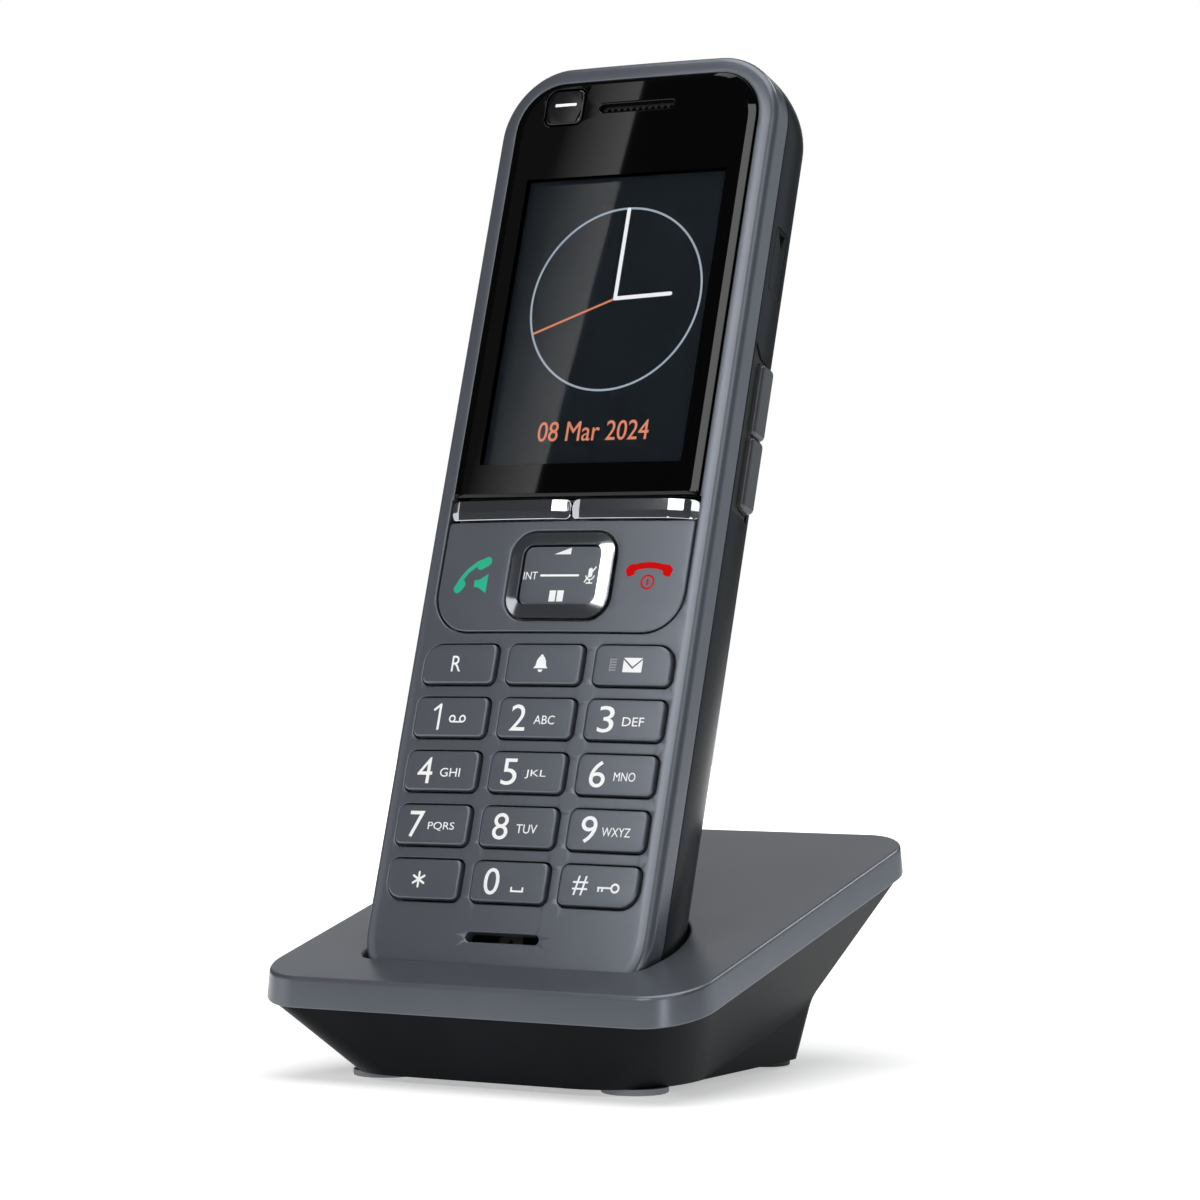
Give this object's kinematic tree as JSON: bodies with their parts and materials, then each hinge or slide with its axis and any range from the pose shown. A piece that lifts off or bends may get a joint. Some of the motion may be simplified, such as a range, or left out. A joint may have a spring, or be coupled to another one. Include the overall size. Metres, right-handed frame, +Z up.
{
  "type": "cordless phone with charging cradle",
  "caption": "Cordless phone handset with colour display and keypad, leaning back in a low tapered charging cradle with a tilted top.",
  "frame": {"origin": "on the table, under the middle of the cradle's outline", "axes": "+Z up; the keypad and the low edge of the cradle face -Y; +X is the viewer's right, the side with the volume key"},
  "size_m": [0.0778, 0.0778, 0.1601],
  "materials": {
    "anthracite_satin": "satin metallic",
    "dark_grey_plastic": "fine satin",
    "black_satin_plastic": "satin",
    "gloss_black": "gloss",
    "window_glass": "high gloss",
    "display": "gloss",
    "chrome_trim": "dark chrome",
    "inner_plastic": "matte",
    "metal_parts": "satin",
    "ballast_steel": "matte",
    "silicone": "matte",
    "circuit_board": "satin",
    "gold_contacts": "polished",
    "cell_jacket": "gloss",
    "foot_grey_rubber": "matte",
    "foot_black_rubber": "matte"
  },
  "bodies": {
    "cradle": {"cradle_top": "anthracite_satin", "cradle_body": "black_satin_plastic", "cradle_base_plate": "black_satin_plastic", "front_feet": "foot_grey_rubber", "rear_feet": "foot_black_rubber", "ballast_weight": "ballast_steel", "charge_board": "circuit_board", "contact_holder": "inner_plastic", "power_socket": "gloss_black", "cradle_screws": "metal_parts"},
    "handset": {"front_housing": "anthracite_satin", "rear_housing": "dark_grey_plastic", "display_window": "window_glass", "display_module": "display", "mid_frame": "inner_plastic", "earpiece_grille": "metal_parts", "earpiece_speaker": "metal_parts", "ringer_speaker": "metal_parts", "microphone": "metal_parts", "vibration_motor": "metal_parts", "keypad_mat": "silicone", "main_board": "circuit_board", "antenna": "gold_contacts", "battery_cells": "cell_jacket", "battery_contacts": "gold_contacts", "handset_charge_contacts": "gold_contacts", "headset_socket": "inner_plastic", "volume_bezel": "gloss_black", "housing_screws": "metal_parts"},
    "battery_cover": {"battery_cover": "dark_grey_plastic"},
    "headset_flap": {"headset_flap": "dark_grey_plastic"},
    "volume_key": {"volume_key": "black_satin_plastic"},
    "message_key": {"message_key": "gloss_black"},
    "soft_key_left": {"soft_key_left": "chrome_trim"},
    "soft_key_right": {"soft_key_right": "chrome_trim"},
    "call_key_plate": {"call_key_plate": "anthracite_satin"},
    "nav_carrier": {"nav_carrier": "metal_parts"},
    "nav_key": {"nav_ring": "chrome_trim", "nav_pad": "anthracite_satin"},
    "key_recall": {"key_recall": "anthracite_satin"},
    "key_profile": {"key_profile": "anthracite_satin"},
    "key_messages": {"key_messages": "anthracite_satin"},
    "key_1": {"key_1": "anthracite_satin"},
    "key_2": {"key_2": "anthracite_satin"},
    "key_3": {"key_3": "anthracite_satin"},
    "key_4": {"key_4": "anthracite_satin"},
    "key_5": {"key_5": "anthracite_satin"},
    "key_6": {"key_6": "anthracite_satin"},
    "key_7": {"key_7": "anthracite_satin"},
    "key_8": {"key_8": "anthracite_satin"},
    "key_9": {"key_9": "anthracite_satin"},
    "key_star": {"key_star": "anthracite_satin"},
    "key_0": {"key_0": "anthracite_satin"},
    "key_hash": {"key_hash": "anthracite_satin"},
    "charge_pin_left": {"charge_pin_left": "gold_contacts"},
    "charge_pin_right": {"charge_pin_right": "gold_contacts"}
  },
  "joints": [
    {"name": "handset_lift", "type": "slide", "parent": "cradle", "child": "handset", "axis": [0, 0.2999, 0.954], "range_m": [0, 0.08]},
    {"name": "battery_cover_off", "type": "slide", "parent": "handset", "child": "battery_cover", "axis": [0, 0.954, -0.2999], "range_m": [0, 0.012]},
    {"name": "headset_flap_hinge", "type": "hinge", "parent": "handset", "child": "headset_flap", "pos_m": [0.0255, 0.01415, 0.12119], "axis": [0, 0.954, -0.2999], "range_deg": [0, 90]},
    {"name": "volume_rock", "type": "hinge", "parent": "handset", "child": "volume_key", "pos_m": [0.0238, 0.00752, 0.09843], "axis": [0, -0.954, 0.2999], "range_deg": [-1.4, 1.4], "stiffness_Nm_per_rad": 0.05},
    {"name": "call_key_rock", "type": "hinge", "parent": "handset", "child": "call_key_plate", "pos_m": [0, -0.00867, 0.0771], "axis": [0, 0.2999, 0.954], "range_deg": [-0.8, 0.8], "stiffness_Nm_per_rad": 0.1},
    {"name": "nav_left_right", "type": "hinge", "parent": "handset", "child": "nav_carrier", "pos_m": [0, -0.007, 0.07658], "axis": [0, 0.2999, 0.954], "range_deg": [-1.8, 1.8], "stiffness_Nm_per_rad": 0.05},
    {"name": "nav_up_down", "type": "hinge", "parent": "nav_carrier", "child": "nav_key", "pos_m": [0, -0.007, 0.07658], "axis": [1, 0, 0], "range_deg": [-1.8, 1.8], "stiffness_Nm_per_rad": 0.05},
    {"name": "message_key_press", "type": "slide", "parent": "handset", "child": "message_key", "axis": [0, 0.954, -0.2999], "range_m": [0, 0.0004], "stiffness_N_per_m": 150, "springref_m": -0.001},
    {"name": "soft_left_press", "type": "slide", "parent": "handset", "child": "soft_key_left", "axis": [0, 0.954, -0.2999], "range_m": [0, 0.0004], "stiffness_N_per_m": 150, "springref_m": -0.001},
    {"name": "soft_right_press", "type": "slide", "parent": "handset", "child": "soft_key_right", "axis": [0, 0.954, -0.2999], "range_m": [0, 0.0004], "stiffness_N_per_m": 150, "springref_m": -0.001},
    {"name": "key_recall_press", "type": "slide", "parent": "handset", "child": "key_recall", "axis": [0, 0.954, -0.2999], "range_m": [0, 0.0005], "stiffness_N_per_m": 150, "springref_m": -0.001},
    {"name": "key_profile_press", "type": "slide", "parent": "handset", "child": "key_profile", "axis": [0, 0.954, -0.2999], "range_m": [0, 0.0005], "stiffness_N_per_m": 150, "springref_m": -0.001},
    {"name": "key_messages_press", "type": "slide", "parent": "handset", "child": "key_messages", "axis": [0, 0.954, -0.2999], "range_m": [0, 0.0005], "stiffness_N_per_m": 150, "springref_m": -0.001},
    {"name": "key_1_press", "type": "slide", "parent": "handset", "child": "key_1", "axis": [0, 0.954, -0.2999], "range_m": [0, 0.0005], "stiffness_N_per_m": 150, "springref_m": -0.001},
    {"name": "key_2_press", "type": "slide", "parent": "handset", "child": "key_2", "axis": [0, 0.954, -0.2999], "range_m": [0, 0.0005], "stiffness_N_per_m": 150, "springref_m": -0.001},
    {"name": "key_3_press", "type": "slide", "parent": "handset", "child": "key_3", "axis": [0, 0.954, -0.2999], "range_m": [0, 0.0005], "stiffness_N_per_m": 150, "springref_m": -0.001},
    {"name": "key_4_press", "type": "slide", "parent": "handset", "child": "key_4", "axis": [0, 0.954, -0.2999], "range_m": [0, 0.0005], "stiffness_N_per_m": 150, "springref_m": -0.001},
    {"name": "key_5_press", "type": "slide", "parent": "handset", "child": "key_5", "axis": [0, 0.954, -0.2999], "range_m": [0, 0.0005], "stiffness_N_per_m": 150, "springref_m": -0.001},
    {"name": "key_6_press", "type": "slide", "parent": "handset", "child": "key_6", "axis": [0, 0.954, -0.2999], "range_m": [0, 0.0005], "stiffness_N_per_m": 150, "springref_m": -0.001},
    {"name": "key_7_press", "type": "slide", "parent": "handset", "child": "key_7", "axis": [0, 0.954, -0.2999], "range_m": [0, 0.0005], "stiffness_N_per_m": 150, "springref_m": -0.001},
    {"name": "key_8_press", "type": "slide", "parent": "handset", "child": "key_8", "axis": [0, 0.954, -0.2999], "range_m": [0, 0.0005], "stiffness_N_per_m": 150, "springref_m": -0.001},
    {"name": "key_9_press", "type": "slide", "parent": "handset", "child": "key_9", "axis": [0, 0.954, -0.2999], "range_m": [0, 0.0005], "stiffness_N_per_m": 150, "springref_m": -0.001},
    {"name": "key_star_press", "type": "slide", "parent": "handset", "child": "key_star", "axis": [0, 0.954, -0.2999], "range_m": [0, 0.0005], "stiffness_N_per_m": 150, "springref_m": -0.001},
    {"name": "key_0_press", "type": "slide", "parent": "handset", "child": "key_0", "axis": [0, 0.954, -0.2999], "range_m": [0, 0.0005], "stiffness_N_per_m": 150, "springref_m": -0.001},
    {"name": "key_hash_press", "type": "slide", "parent": "handset", "child": "key_hash", "axis": [0, 0.954, -0.2999], "range_m": [0, 0.0005], "stiffness_N_per_m": 150, "springref_m": -0.001},
    {"name": "charge_pin_left_press", "type": "slide", "parent": "cradle", "child": "charge_pin_left", "axis": [0, -0.2999, -0.954], "range_m": [0, 0.0008], "stiffness_N_per_m": 150, "springref_m": -0.001},
    {"name": "charge_pin_right_press", "type": "slide", "parent": "cradle", "child": "charge_pin_right", "axis": [0, -0.2999, -0.954], "range_m": [0, 0.0008], "stiffness_N_per_m": 150, "springref_m": -0.001}
  ]
}
